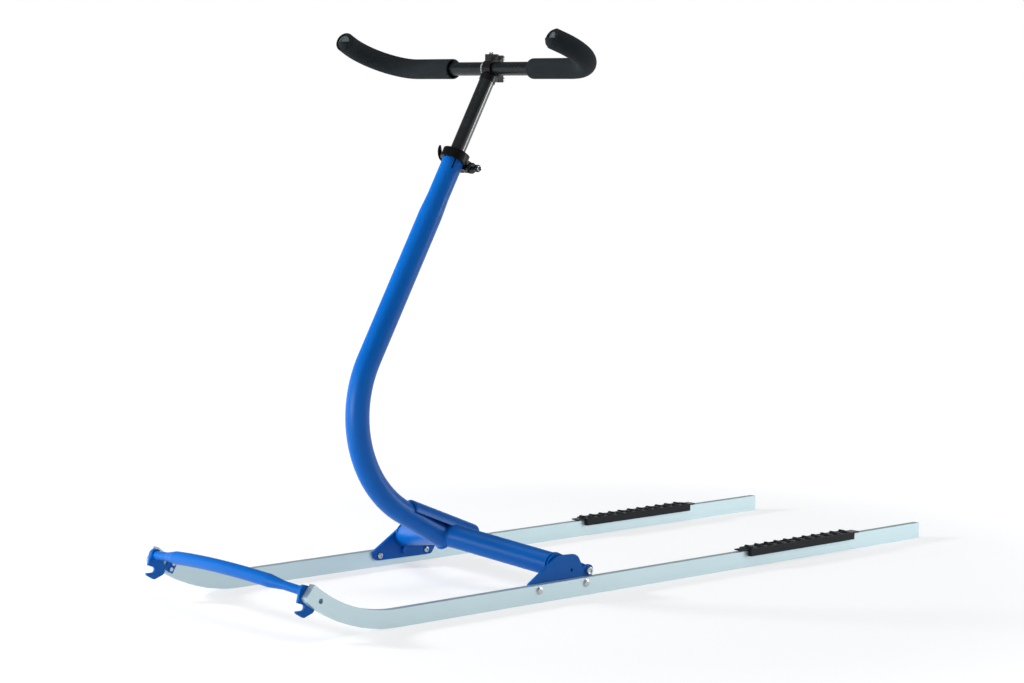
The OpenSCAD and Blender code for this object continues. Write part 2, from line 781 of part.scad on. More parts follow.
module clamp_cap() {
    color("#26282b")
        on_clamp()
            difference() {
                union() {
                    bar_x([0, 0], clamp_r, -clamp_w / 2, clamp_w / 2);
                    for (z = [-block_down, ear_from])
                        translate([-block_w / 2, 0, z])
                            cube([block_w, ear_back, block_down - ear_from]);
                }
                bar_x([0, 0], bar_r + fit_gap, -clamp_w, clamp_w);
                translate([-50, split_back + split_gap / 2 - 100, -50])
                    cube(100);
                cap_bolt_pair(cap_bolt_r + weld_gap, 0, ear_back + 1);
            }
}

module clamp_bolts() {
    ring_x = -clamp_w / 2 - rest_gap;
    color("#9a9ea3")
        on_clamp() {
            cap_bolt_pair(cap_bolt_r, bolt_end, ear_back + 1);
            cap_bolt_pair(cap_head_r, ear_back, ear_back + cap_head_t);
            translate([0, -block_fwd / 4, block_up])
                cylinder(r = cap_head_r, h = cap_head_t / 2);
            difference() {
                bar_x([0, 0], ring_r, ring_x - ring_w, ring_x);
                bar_x([0, 0], bar_r + fit_gap, ring_x - ring_w - 1, ring_x + 1);
            }
        }
}

// Places its children at the bar's centre, tilted so that +Y points along its ends.
module on_bar() {
    translate([0, bar_c.x, bar_c.y])
        rotate([-bar_rise, 0, 0])
            rotate([0, 0, 180])
                children();
}

// One bent end of the bar, as a solid of radius r, its straight part from x0.
module bar_side(r, x0, tip) {
    translate([x0, 0, 0])
        rotate([0, 90, 0])
            cylinder(r = r - lap_step, h = bar_mid / 2 - x0 + lap);
    translate([bar_mid / 2, bar_bend_r, 0]) {
        rotate([0, 0, -90])
            rotate_extrude(angle = bar_bend, $fn = 120)
                translate([bar_bend_r, 0])
                    circle(r);
        rotate([0, 0, bar_bend - 90])
            translate([bar_bend_r, -lap, 0])
                rotate([-90, 0, 0])
                    cylinder(r = r - lap_step, h = tip + lap);
    }
}

module handlebar() {
    color("#1b1d20")
        on_bar() {
            translate([-bar_mid / 2 + 10, 0, 0])
                rotate([0, 90, 0])
                    cylinder(r = bar_r, h = bar_mid - 20);
            for (s = [-1, 1])
                side(s) bar_side(bar_r, bar_mid / 2 - 11, bar_tip);
        }
}

module grip(s) {
    color("#17181a")
        on_bar()
            side(-s)
                difference() {
                    bar_side(grip_r, grip_gap / 2, bar_tip + 4);
                    bar_side(bar_r + weld_gap, 0, bar_tip + 5);
                }
}

module bar_plugs() {
    color("#101112")
        on_bar()
            for (s = [-1, 1])
                side(s)
                    translate([bar_mid / 2, bar_bend_r, 0])
                        rotate([0, 0, bar_bend - 90])
                            translate([bar_bend_r, bar_tip + weld_gap, 0])
                                rotate([-90, 0, 0])
                                    cylinder(r = bar_r - 1, h = 6);
}

runner(1);  // runner_left
runner(-1);  // runner_right
foot_pad(1);  // foot_pad_left
foot_pad(-1);  // foot_pad_right
hinge_bracket(1);  // hinge_bracket_left
hinge_bracket(-1);  // hinge_bracket_right
bracket_bolts();
hinge_pins();
front_tube();
front_hook(1);  // front_hook_left
front_hook(-1);  // front_hook_right
hook_screws();
cross_tube();
end_plate(1);  // end_plate_left
end_plate(-1);  // end_plate_right
stem();
saddle();
seat_collar();
collar_lever();
post();
clamp_body();
clamp_cap();
clamp_bolts();
handlebar();
grip(1);  // grip_left
grip(-1);  // grip_right
bar_plugs();
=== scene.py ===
# %% [markdown]
# A kick sled: two long runners, a folding blue frame and a curved stem with a
# bullhorn handlebar. The construction comes from the imported CAD model, which is
# loaded first and never moved. This lesson dresses it: finishes, softened edges,
# foam, welds and bolts, in the light of a white studio.

# %% Load the imported model
import json
import math

import bmesh
import bpy
from mathutils import Matrix, Quaternion, Vector


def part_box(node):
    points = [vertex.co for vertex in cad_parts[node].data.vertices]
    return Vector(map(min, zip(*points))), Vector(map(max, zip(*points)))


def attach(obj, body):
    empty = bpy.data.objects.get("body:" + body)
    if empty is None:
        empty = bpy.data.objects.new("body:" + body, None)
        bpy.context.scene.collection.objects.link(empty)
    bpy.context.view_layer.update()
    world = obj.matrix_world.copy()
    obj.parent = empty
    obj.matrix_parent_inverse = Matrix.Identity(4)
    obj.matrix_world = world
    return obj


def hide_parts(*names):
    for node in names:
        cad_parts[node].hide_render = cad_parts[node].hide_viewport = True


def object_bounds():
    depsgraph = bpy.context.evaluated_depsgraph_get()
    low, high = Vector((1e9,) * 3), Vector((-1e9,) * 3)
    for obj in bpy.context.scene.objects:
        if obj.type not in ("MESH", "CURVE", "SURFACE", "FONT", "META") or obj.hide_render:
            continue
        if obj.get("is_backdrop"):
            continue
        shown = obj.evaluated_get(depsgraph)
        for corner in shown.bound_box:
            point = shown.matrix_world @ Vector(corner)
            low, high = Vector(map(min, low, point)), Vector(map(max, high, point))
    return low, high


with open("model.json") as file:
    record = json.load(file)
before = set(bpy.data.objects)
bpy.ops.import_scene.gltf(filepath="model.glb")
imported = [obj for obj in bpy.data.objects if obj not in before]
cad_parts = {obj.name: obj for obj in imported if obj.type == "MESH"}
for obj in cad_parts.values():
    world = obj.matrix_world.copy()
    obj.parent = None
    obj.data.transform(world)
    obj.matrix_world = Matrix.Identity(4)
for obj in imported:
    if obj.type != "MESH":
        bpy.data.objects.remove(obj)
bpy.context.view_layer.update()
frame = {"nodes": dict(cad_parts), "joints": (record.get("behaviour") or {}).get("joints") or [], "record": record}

MM = 0.001
nodes = frame["nodes"]
joints = {j["name"]: j for j in frame["joints"]}

# %% [markdown]
# The camera stands where the photographer stood: in front, a little to the
# sled's left, low down and far away. A long lens keeps the two runners nearly
# parallel. Its place was solved from the runners, bolts and bar ends, so it is
# written as numbers here, with a tiny roll of the horizon.

# %% Camera
camera = bpy.data.objects.new("camera", bpy.data.cameras.new("camera"))
bpy.context.scene.collection.objects.link(camera)
bpy.context.scene.camera = camera
azimuth, elevation, roll = (math.radians(d) for d in (48.024, 5.470, 0.462))
back = Vector((math.sin(azimuth) * math.cos(elevation), -math.cos(azimuth) * math.cos(elevation), math.sin(elevation)))
camera.rotation_mode = "QUATERNION"
camera.rotation_quaternion = (-back).to_track_quat("-Z", "Y") @ Quaternion((0, 0, 1), roll)
camera.location = (3.5317, -3.2977, 0.9006)
camera.data.sensor_width = 36
camera.data.lens = 36 * 2529 / 1024
camera.data.clip_start, camera.data.clip_end = 0.1, 60
bpy.context.scene.view_settings.view_transform = "Standard"

# %% [markdown]
# A finish is a node tree, and node trees are easier to read as sums. The small
# class below wraps one output, so `noise * 0.2 + 0.4` adds the Math nodes by
# itself. Every other node comes from one method, `Finish.node`, which takes the
# node's type, its settings and what its sockets get.

# %% Shader arithmetic
class Signal:
    """One output of a node, ready for arithmetic."""

    def __init__(self, finish, output):
        self.finish, self.output = finish, output

    def math(self, operation, a, b):
        return self.finish.node("Math", {"operation": operation}, {0: a, 1: b})

    def __add__(self, other):
        return self.math("ADD", self, other)

    def __sub__(self, other):
        return self.math("SUBTRACT", self, other)

    def __rsub__(self, other):
        return self.math("SUBTRACT", other, self)

    def __mul__(self, other):
        return self.math("MULTIPLY", self, other)

    def __pow__(self, other):
        return self.math("POWER", self, other)

    __radd__, __rmul__ = __add__, __mul__


class Finish:
    """A material with one Principled shader."""

    def __init__(self, name):
        self.material = bpy.data.materials.new(name)
        self.material.use_nodes = True
        self.tree = self.material.node_tree
        self.tree.nodes.clear()
        self.place = self.node("TexCoord", out="Object")

    def node(self, kind, settings=None, inputs=None, out=0):
        made = self.tree.nodes.new("ShaderNode" + kind)
        for key, value in (settings or {}).items():
            setattr(made, key, value)
        for key, value in (inputs or {}).items():
            socket = made.inputs[key]
            if isinstance(value, Signal):
                self.tree.links.new(value.output, socket)
            else:
                socket.default_value = value
        return Signal(self, made.outputs[out]) if made.outputs else made

    def noise(self, scale, stretch=(1, 1, 1), detail=2.0):
        """Noise with about `scale` lumps a metre, between 0 and 1."""
        spot = self.node("Mapping", None, {"Vector": self.place, "Scale": stretch})
        return self.node("TexNoise", None, {"Vector": spot, "Scale": scale, "Detail": detail})

    def blend(self, factor, low, high):
        """Mixes two colours by a factor."""
        mixed = self.node("Mix", {"data_type": "RGBA"}, {0: factor, 6: (*low, 1), 7: (*high, 1)}, out=2)
        return mixed

    def surface(self, **sockets):
        """Ends the tree: keyword names are the Principled sockets, with _ for a space."""
        inputs = {key.replace("_", " "): value for key, value in sockets.items()}
        bump = inputs.pop("Bump", None)
        if bump:
            height, depth = bump
            inputs["Normal"] = self.node("Bump", None, {"Height": height, "Distance": depth, "Strength": 1.0})
        shader = self.node("BsdfPrincipled", None, inputs)
        self.node("OutputMaterial", None, {"Surface": shader})
        return self.material


# %% [markdown]
# The frame is powder coated in a royal blue: an even colour, a satin gloss, and
# the fine orange peel that such paint has. A slow noise varies the gloss, as
# handling does, and a fine one lifts the surface by a few hundredths of a
# millimetre.

# %% Blue powder coat
def powder_coat(name):
    paint = Finish(name)
    cloud = paint.noise(9, detail=3)
    peel = paint.noise(420, detail=1)
    return paint.surface(
        Base_Color=paint.blend(cloud, (0.0, 0.096, 0.40), (0.0, 0.120, 0.48)),
        Roughness=cloud * 0.10 + 0.32,
        Specular_IOR_Level=0.18,
        Bump=(peel, 0.00005),
    )


blue_paint = powder_coat("blue_powder_coat")

# %% [markdown]
# The runners are pale drawn metal. Drawing leaves faint lines along the bar, so
# the noise is stretched along Y until its lumps are long streaks.

# %% Pale drawn metal
def drawn_metal(name):
    metal = Finish(name)
    streaks = metal.noise(600, (1, 0.004, 1), detail=3)
    cloud = metal.noise(6, detail=3)
    return metal.surface(
        Base_Color=metal.blend(cloud * 0.6 + streaks * 0.4, (0.50, 0.64, 0.68), (0.60, 0.73, 0.77)),
        Metallic=0.80,
        Roughness=streaks * 0.14 + cloud * 0.10 + 0.34,
        Bump=(streaks, 0.00003),
    )


runner_metal = drawn_metal("pale_drawn_metal")

# %% [markdown]
# Four dark finishes tell the small parts apart: satin anodised tubes, the
# coarser skin of the forged clamp, moulded plastic with a fine grain, and foam
# with its open cells.

# %% Dark finishes
def dark_finish(name, colour, rough, cell, depth, gloss):
    """A black surface: its colour, roughness, lumps a metre and their height in metres."""
    skin = Finish(name)
    grain = skin.noise(cell, detail=2)
    cloud = skin.noise(14, detail=3)
    light = tuple(c * 1.6 for c in colour)
    return skin.surface(
        Base_Color=skin.blend(cloud * 0.5 + grain * 0.5, colour, light),
        Roughness=cloud * 0.10 + grain * 0.08 + rough,
        Specular_IOR_Level=gloss,
        Bump=(grain, depth),
    )


satin_black = dark_finish("satin_black_tube", (0.005, 0.007, 0.008), 0.18, 60, 0.00001, gloss=0.25)
forged_black = dark_finish("forged_black", (0.003, 0.003, 0.003), 0.24, 260, 0.00006, gloss=0.12)
post_black = dark_finish("gloss_black_post", (0.004, 0.006, 0.007), 0.14, 60, 0.00001, gloss=0.80)
moulded_black = dark_finish("moulded_black", (0.008, 0.010, 0.012), 0.20, 700, 0.00005, gloss=0.16)
plug_grey = dark_finish("plug_grey", (0.050, 0.060, 0.062), 0.45, 700, 0.00005, gloss=0.30)
cast_black = dark_finish("cast_black_clamp", (0.004, 0.004, 0.005), 0.20, 260, 0.00006, gloss=0.20)
grip_foam = dark_finish("grip_foam", (0.007, 0.010, 0.012), 0.80, 900, 0.00022, gloss=0.20)

# %% [markdown]
# Bolts, nuts and pins are zinc plated: bright metal with a soft, slightly
# cloudy gloss.

# %% Zinc plate
def zinc_plate(name):
    zinc = Finish(name)
    cloud = zinc.noise(160, detail=3)
    return zinc.surface(
        Base_Color=zinc.blend(cloud, (0.40, 0.43, 0.46), (0.60, 0.62, 0.64)),
        Metallic=1.0,
        Roughness=cloud * 0.2 + 0.2,
        Bump=(cloud, 0.00003),
    )


zinc = zinc_plate("zinc_plate")

# %% [markdown]
# Every CAD node gets the finish that its real piece has. The nodes that are
# replaced further down get theirs too, from the same table.

# %% Finish of each node
FINISHES = {
    "runner": runner_metal,
    "foot_pad": moulded_black,
    "bracket_bolts": zinc,
    "hinge_pins": zinc,
    "hook_screws": zinc,
    "seat_collar": forged_black,
    "collar_lever": satin_black,
    "post": post_black,
    "clamp_bolts": zinc,
    "clamp": cast_black,
    "handlebar": satin_black,
    "grip": grip_foam,
    "bar_plugs": plug_grey,
}


def finish_of(node):
    """The finish of a CAD node: that of the longest name that it starts with."""
    names = [key for key in FINISHES if node.startswith(key)]
    return FINISHES[max(names, key=len)] if names else blue_paint


for name, part in nodes.items():
    part.data.materials.clear()
    part.data.materials.append(finish_of(name))
print(len(nodes), "CAD nodes have a finish")

# %% [markdown]
# No real plate or bar has a knife edge. A copy of a CAD node, with its loose
# triangles merged and its flat faces dissolved, takes a bevel modifier, and the
# narrow round it makes catches the light. The CAD node itself stays as it is,
# hidden, for the physics.

# %% Soft edges
BODIES = {n: body for body, members in frame["record"]["behaviour"]["bodies"].items() for n in members}


def soften(node, width=0.8, segments=2, angle=32, cut=None):
    """Replaces a CAD node by a copy with rounded edges. Width in mm.

    What lies to the left of x = cut mm is taken off and closed.
    """
    mesh = nodes[node].data.copy()
    mesh.name = node + "_soft"
    shape = bmesh.new()
    shape.from_mesh(mesh)
    bmesh.ops.remove_doubles(shape, verts=shape.verts, dist=2e-6)
    bmesh.ops.dissolve_limit(shape, angle_limit=math.radians(0.5), verts=shape.verts, edges=shape.edges)
    if cut:
        everything = shape.verts[:] + shape.edges[:] + shape.faces[:]
        opened = bmesh.ops.bisect_plane(shape, geom=everything, plane_co=(cut * MM, 0, 0), plane_no=(1, 0, 0), clear_inner=True)
        rim = [e for e in opened["geom_cut"] if isinstance(e, bmesh.types.BMEdge)]
        bmesh.ops.edgeloop_fill(shape, edges=rim)
    shape.to_mesh(mesh)
    shape.free()
    mesh.shade_smooth()
    mesh.set_sharp_from_angle(angle=math.radians(angle))
    piece = bpy.data.objects.new(node + "_soft", mesh)
    bpy.context.scene.collection.objects.link(piece)
    edge = piece.modifiers.new("soft edge", "BEVEL")
    edge.width, edge.segments, edge.limit_method = width * MM, segments, "ANGLE"
    edge.angle_limit = math.radians(angle)
    edge.harden_normals = True
    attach(piece, BODIES[node])
    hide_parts(node)
    return piece


LEVER_CUT = -26.0
EDGES = {
    "runner": 1.0, "hinge_bracket": 0.7, "end_plate": 0.7, "front_hook": 0.8, "foot_pad": 0.7,
    "clamp_body": 2.2, "clamp_cap": 2.2, "seat_collar": 0.8, "collar_lever": 0.5, "saddle": 0.5,
}
for node in list(nodes):
    for start, width in EDGES.items():
        if node.startswith(start):
            soften(node, width, cut=LEVER_CUT if node == "collar_lever" else None)
print("softened", len(EDGES), "kinds of piece")

# %% [markdown]
# Everything round that is added here is a skin over circles: each circle has a
# place, with its Z axis along the line, and a radius, and the next one is bridged
# to it. A `flute` below 1 pulls every second point inwards, which makes knurls
# and teeth.

# %% Circles and skins
def level(points, closed=False):
    """A matrix at each point, with its Z axis along the line through them."""
    places, count = [], len(points)
    for i, point in enumerate(points):
        before = points[i - 1] if closed or i else point
        after = points[(i + 1) % count] if closed or i < count - 1 else point
        turn = (after - before).to_track_quat("Z", "Y")
        places.append(Matrix.Translation(point) @ turn.to_matrix().to_4x4())
    return places


def skin(shape, rings, segments=24, closed=False, flute=1.0):
    """Bridges circles, given as (matrix, radius), and caps the ends."""
    first = last = None
    for place, radius in rings:
        circle = bmesh.ops.create_circle(shape, segments=segments, radius=radius, matrix=place)["verts"]
        for i, vert in enumerate(circle):
            if i % 2 and flute != 1:
                vert.co = place.translation.lerp(vert.co, flute)
        edges = list({edge for vert in circle for edge in vert.link_edges})
        if last:
            bmesh.ops.bridge_loops(shape, edges=last + edges)
        first, last = first or edges, edges
    if closed:
        bmesh.ops.bridge_loops(shape, edges=first + last)
    else:
        for edges in (first, last):
            bmesh.ops.edgeloop_fill(shape, edges=edges)


def along_x(middle, profile):
    """Rings for a turned piece along X: the profile holds (x, radius) in mm."""
    turn = Quaternion((0, 1, 0), math.pi / 2).to_matrix().to_4x4()
    return [(Matrix.Translation((x * MM, middle.y, middle.z)) @ turn, r * MM) for x, r in profile]


def finished(shape, name, body, slot, material, *replaced, sharp=35):
    """Makes the piece from its bmesh: normals, shading, finish and body. The slot is not used."""
    bmesh.ops.recalc_face_normals(shape, faces=shape.faces)
    mesh = bpy.data.meshes.new(name)
    shape.to_mesh(mesh)
    shape.free()
    mesh.shade_smooth()
    mesh.set_sharp_from_angle(angle=math.radians(sharp))
    mesh.materials.append(material)
    piece = bpy.data.objects.new(name, mesh)
    bpy.context.scene.collection.objects.link(piece)
    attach(piece, body)
    if replaced:
        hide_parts(*replaced)
    return piece


# %% [markdown]
# The foam grips follow the bar: straight, round the bend, and a short straight
# tip. The foam is cut square at its far end on the right side and has a soft
# round end on the left, as in the photo.

# %% Foam grips and bar plugs
BAR = Vector(next(j for j in frame["record"]["behaviour"]["joints"] if j["name"] == "bar_tilt")["pos_m"])
BAR_HALF, BEND_R, BEND, TIP = 216, 85, 108, 19
RISE = math.radians(23)
BAR_LENGTH = BAR_HALF + math.radians(BEND) * BEND_R + TIP


def bar_point(s, side):
    """The point on the bar's centre line at s mm from its middle."""
    turn = min(max((s - BAR_HALF) / BEND_R, 0), math.radians(BEND))
    rest = max(s - BAR_HALF - math.radians(BEND) * BEND_R, 0)
    x = min(s, BAR_HALF) + BEND_R * math.sin(turn) + rest * math.cos(turn)
    ahead = BEND_R * (1 - math.cos(turn)) + rest * math.sin(turn)
    return BAR + Vector((side * x, -ahead * math.cos(RISE), ahead * math.sin(RISE))) * MM


def rounded(start, end, r, r_in, soft_start, soft_end, steps=26):
    """Places and radii along the bar for a sleeve with rounded ends, in mm."""
    quarter = [math.radians(15 * k) for k in range(7)]
    run = [(start, r_in)]
    run += [(start + soft_start * (1 - math.sin(a)), r - soft_start * (1 - math.cos(a))) for a in reversed(quarter)]
    run += [(start + soft_start + (end - start - soft_start - soft_end) * k / steps, r) for k in range(1, steps)]
    run += [(end - soft_end * (1 - math.sin(a)), r - soft_end * (1 - math.cos(a))) for a in quarter]
    return run + [(end, r_in)]


for side, name, soft in ((1, "grip_left", 6.0), (-1, "grip_right", 2.0)):
    run = rounded(109, BAR_LENGTH, 18.9, 12.6, soft, 2.4)
    shape = bmesh.new()
    skin(shape, list(zip(level([bar_point(s, side) for s, r in run]), [r * MM for s, r in run])), 40)
    foam = finished(shape, name + "_foam", "bar", "grip_foam", grip_foam, name, sharp=50)

shape = bmesh.new()
for side in (1, -1):
    disc = [(-2, 11.5), (-0.6, 11.5), (1.0, 11.3), (1.9, 10.2), (2.2, 8.4), (2.0, 7.6), (1.2, 7.0), (1.0, 3.0), (1.6, 0.4)]
    places = level([bar_point(BAR_LENGTH + x, side) for x, r in disc])
    skin(shape, [(place, r * MM) for place, (x, r) in zip(places, disc)], 36)
finished(shape, "bar_end_plugs", "bar", "plug_plastic", plug_grey, "bar_plugs")
print("grips follow", round(BAR_LENGTH), "mm of bar on each side")

# %% [markdown]
# Bolts next. Each bracket bolt has a domed head with a socket on the inside of
# the bracket, and a washer and a hexagon nut outside the runner. The hinge pins
# end in a ring with a deep socket.

# %% Bolts, nuts and pins
def box_of(node):
    low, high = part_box(node)
    return low / MM, high / MM


def centre_line(y, z):
    return Vector((0, y * MM, z * MM))


low, high = box_of("bracket_bolts")
outer = high.x
nut_r = (high.z - low.z) / 2
bolts = [centre_line(y, (low.z + high.z) / 2) for y in (low.y + nut_r, high.y - nut_r)]
inner = box_of("hinge_bracket_left")[1].x - 9
shape = bmesh.new()
for side in (1, -1):
    for bolt in bolts:
        dome = [(4, 5.6), (3.4, 5.8), (2.2, 5.7), (1.1, 5.0), (0.4, 3.9), (0.3, 2.9), (2.2, 2.8)]
        skin(shape, along_x(bolt, [(side * (inner + x), r) for x, r in dome]), 28)
        washer = [(-3.0, 7.4), (-2.3, 7.4), (-2.1, 7.1)]
        skin(shape, along_x(bolt, [(side * (outer + x), r) for x, r in washer]), 28)
        nut = [(-2.2, 5.9), (-1.9, 6.4), (-0.5, 6.4), (-0.2, 5.8)]
        skin(shape, along_x(bolt, [(side * (outer + x), r) for x, r in nut]), 6)
        thread = [(-1.0, 3.0), (-0.4, 3.0), (0.0, 2.6)]
        skin(shape, along_x(bolt, [(side * (outer + x), r) for x, r in thread]), 24)
finished(shape, "bracket_bolt_set", "sled", "zinc_steel", zinc, "bracket_bolts")

low, high = box_of("hinge_pins")
pin = centre_line((low.y + high.y) / 2, (low.z + high.z) / 2)
shape = bmesh.new()
for side in (1, -1):
    ring = [(-5.0, 7.0), (-0.7, 7.0), (-0.2, 6.8), (0.0, 6.3), (0.0, 4.2), (-0.4, 3.6), (-1.8, 3.4), (-2.2, 0.3)]
    skin(shape, along_x(pin, [(side * (high.x + x), r) for x, r in ring]), 36)
    inner = high.x - 21.3
    cap = [(5.0, 7.0), (0.9, 7.0), (0.2, 6.4), (0.0, 5.4), (0.0, 3.2), (2.4, 3.0)]
    skin(shape, along_x(pin, [(side * (inner + x), r) for x, r in cap]), 36)
finished(shape, "hinge_pin_set", "sled", "zinc_steel", zinc, "hinge_pins")
print("bolts at", [tuple(round(c / MM, 1) for c in b.yz) for b in bolts], "pins at", round(pin.y / MM, 1))

# %% [markdown]
# The clamp's small steel: two socket screws in the cap, one on the block, and
# the toothed ring beside the barrel. The quick-release has a knurled nut, and a
# bright ring in the end of its knob.

# %% Clamp screws, toothed ring and quick release
def turned_y(middle, profile):
    """Rings for a turned piece along Y: the profile holds (y, radius) in mm."""
    turn = Quaternion((1, 0, 0), -math.pi / 2).to_matrix().to_4x4()
    return [(Matrix.Translation(middle + Vector((0, y * MM, 0))) @ turn, r * MM) for y, r in profile]


shape = bmesh.new()
head = [(19.6, 4.4), (20.0, 4.5), (27.2, 4.5), (27.9, 4.1), (28.0, 2.6), (25.0, 2.5), (24.9, 0.2)]
for z in (19.5, -19.5):
    skin(shape, turned_y(BAR + Vector((0, 0, z * MM)), head), 30)
button = [(27.0, 4.5), (28.4, 4.4), (29.8, 3.6), (30.9, 2.4), (31.0, 1.9), (29.2, 1.8)]
skin(shape, [(Matrix.Translation(BAR + Vector((0, -2.5, z)) * MM), r * MM) for z, r in button], 30)
teeth = [(-16.8, 14.4), (-16.2, 15.9), (-11.9, 15.9), (-11.3, 14.4)]
skin(shape, along_x(BAR, teeth), 64, flute=0.94)
finished(shape, "clamp_steel", "post", "zinc_steel", zinc, "clamp_bolts", sharp=28)

LEAN = math.radians(29)
stem_up = Vector((0, math.sin(LEAN), math.cos(LEAN)))
stem_rear = Vector((0, math.cos(LEAN), -math.sin(LEAN)))
rod = BAR + (stem_rear * 28.1 - stem_up * 193) * MM
shape = bmesh.new()
knurl = [(18.9, 8.6), (19.6, 10.3), (25.6, 10.3), (26.3, 8.6)]
skin(shape, along_x(rod, knurl), 52, flute=0.91)
finished(shape, "knurled_nut", "frame", "black_metal", satin_black, sharp=28)

shape = bmesh.new()
ring = [(44.0, 5.2), (45.3, 5.3), (45.8, 5.0), (45.9, 4.4), (45.6, 3.9), (44.6, 3.6), (44.3, 2.8)]
skin(shape, along_x(rod, ring), 36)
skin(shape, along_x(rod, [(-18.9, 5.0), (-18.6, 6.2), (-16.9, 6.2), (-16.6, 5.0)]), 36)
skin(shape, along_x(rod, [(13.3, 5.2), (13.6, 6.4), (15.1, 6.4), (15.4, 5.2)]), 36)
finished(shape, "quick_release_rings", "frame", "zinc_steel", zinc)
shape = bmesh.new()
lever = [(-28.4, 30, -3, 1.6, 4.5), (-28.6, 26, 0, 2.4, 6.4), (-29.4, 19, 2, 2.3, 5.6), (-30.6, 10, 2, 2.1, 4.8),
         (-31.2, 1, 2, 2.0, 4.6), (-31.2, -6, 4, 2.0, 4.8), (-30.8, -11, 8, 2.0, 5.2), (-30.2, -15, 13, 1.9, 5.0),
         (-29.6, -18, 18, 1.6, 3.8), (-29.2, -20, 22, 1.0, 1.8)]
lever_spots = [rod + Vector((x, 0, 0)) * MM + (stem_rear * (y - 28.1) + stem_up * (z - 1)) * MM for x, y, z, t, w in lever]
rings = []
for place, (x, y, z, thick, wide) in zip(level(lever_spots), lever):
    ahead = place.to_3x3().col[2].normalized()
    sideways = Vector((1, 0, 0))
    flat = Matrix((sideways * thick / wide, ahead.cross(sideways).normalized(), ahead)).transposed().to_4x4()
    rings.append((Matrix.Translation(place.translation) @ flat, wide * MM))
skin(shape, rings, 20)
hub = [(-25.4, 7.0), (-25.8, 7.8), (-29.6, 7.8), (-30.4, 7.0), (-30.6, 5.2)]
skin(shape, along_x(rod, hub), 32)
finished(shape, "lever_blade", "frame", "black_metal", satin_black, "collar_lever")
print("quick-release rod at", tuple(round(c / MM, 1) for c in rod))

# %% [markdown]
# Weld beads run round each joint of the blue frame. Their path is found on the
# model itself: a ray goes along the surface of one tube until it meets the
# other. The bead is a thin skin whose radius ripples like laid weld metal.

# %% Weld beads
def bead(shape, points, radius, ripples, closed=True):
    """A weld bead in metres along points, its radius (one, or one a point) rippling as it goes."""
    count = len(points)
    sizes = radius if isinstance(radius, list) else [radius] * count
    radii = [r * (1 + 0.13 * math.sin(2 * math.pi * ripples * i / count)) for i, r in enumerate(sizes)]
    skin(shape, list(zip(level(points, closed), radii)), 10, closed=closed)


def tube_end(axis_point, direction, radius, x, count=96):
    """Where a tube meets the upright plane at x."""
    direction = direction.normalized()
    side = direction.cross(Vector((0, 0, 1))).normalized()
    up = side.cross(direction)
    points = []
    for i in range(count):
        a = 2 * math.pi * i / count
        p = axis_point + (side * math.cos(a) + up * math.sin(a)) * radius
        points.append(p + direction * ((x - p.x) / direction.x))
    return points


cross_low, cross_high = box_of("cross_tube")
plate_low, plate_high = box_of("end_plate_left")
cross_x = cross_high.x
end_y, end_z = plate_low.y + 23, plate_high.z - 23
shape = bmesh.new()
for side in (1, -1):
    end = Vector((side * cross_x, end_y, end_z)) * MM
    leg = Vector((side * cross_x, 87, -41))
    bead(shape, tube_end(end, leg, 22.3 * MM, side * (cross_x - 0.5) * MM), 1.7 * MM, 44)

tube = nodes["cross_tube"]
foot = Vector((0, end_y - 87, end_z + 41))
dive = math.radians(30)
down = Vector((0, math.cos(dive), -math.sin(dive)))
across, above = Vector((1, 0, 0)), Vector((0, math.sin(dive), math.cos(dive)))
half = math.atan2(math.hypot(87, 41), cross_x)
sag = 90 * (1 / math.cos(half) - 1)
tilt = math.atan2(41, 87)
middle = foot + Vector((0, math.cos(tilt), -math.sin(tilt))) * sag
axis = middle - above * 6.4
joint = []
for i in range(96):
    a = 2 * math.pi * i / 96
    start = axis - down * 90 + (across * math.cos(a) + above * math.sin(a)) * 22.2
    hit, spot, normal, index = tube.ray_cast(start * MM, down, distance=95 * MM)
    joint.append(spot if hit else (start + down * 89.5) * MM)
bead(shape, joint, 1.8 * MM, 40)
print("stem meets the cross tube over", round((max(p.y for p in joint) - min(p.y for p in joint)) / MM), "mm")

# The shell over the joint is welded to the stem at its front edge: a fillet
# that is as thick as the gap which a ray finds there.
shell_dive = math.radians(22)
shell_down = Vector((0, math.cos(shell_dive), -math.sin(shell_dive)))
shell_above = Vector((0, math.sin(shell_dive), math.cos(shell_dive)))
shell_front = middle + shell_above * 11.6 - shell_down * 104
fillet, sizes = [], []
for i in range(61):
    a = math.radians(-76 + 152 * i / 60)
    out = across * math.sin(a) + shell_above * math.cos(a)
    rim = (shell_front + out * 23.4 + shell_down * 0.6) * MM
    hit, spot, normal, index = nodes["stem"].ray_cast(rim, -out, distance=20 * MM)
    gap = (rim - spot).length if hit else 1.0 * MM
    fillet.append(rim - out * gap / 2)
    sizes.append(gap / 2 + 0.9 * MM)
bead(shape, fillet, sizes, 24, closed=False)
print("the shell's front weld is", round(2 * max(sizes) / MM, 1), "mm thick at most")

finished(shape, "frame_welds", "frame", "blue_paint", blue_paint)

shape = bmesh.new()
front_x = box_of("front_tube")[1].x
for mount in frame["record"]["mounts"]:
    if mount["name"].startswith("hook_"):
        throat = Vector(mount["pos_m"])
        seat = throat + Vector((0, 6.5, 26.5)) * MM
        side = math.copysign(1, throat.x)
        seat.x = 0
        slope, lean = math.radians(8.4), math.radians(38)
        axis = Vector((side, math.tan(slope) * math.cos(lean), -math.tan(slope) * math.sin(lean)))
        ends = tube_end(seat + Vector((side * front_x * MM, 0, 0)), axis, 8.7 * MM, side * (front_x - 0.4) * MM, 72)
        bead(shape, ends, 1.1 * MM, 26)
finished(shape, "front_welds", "sled", "blue_paint", blue_paint)

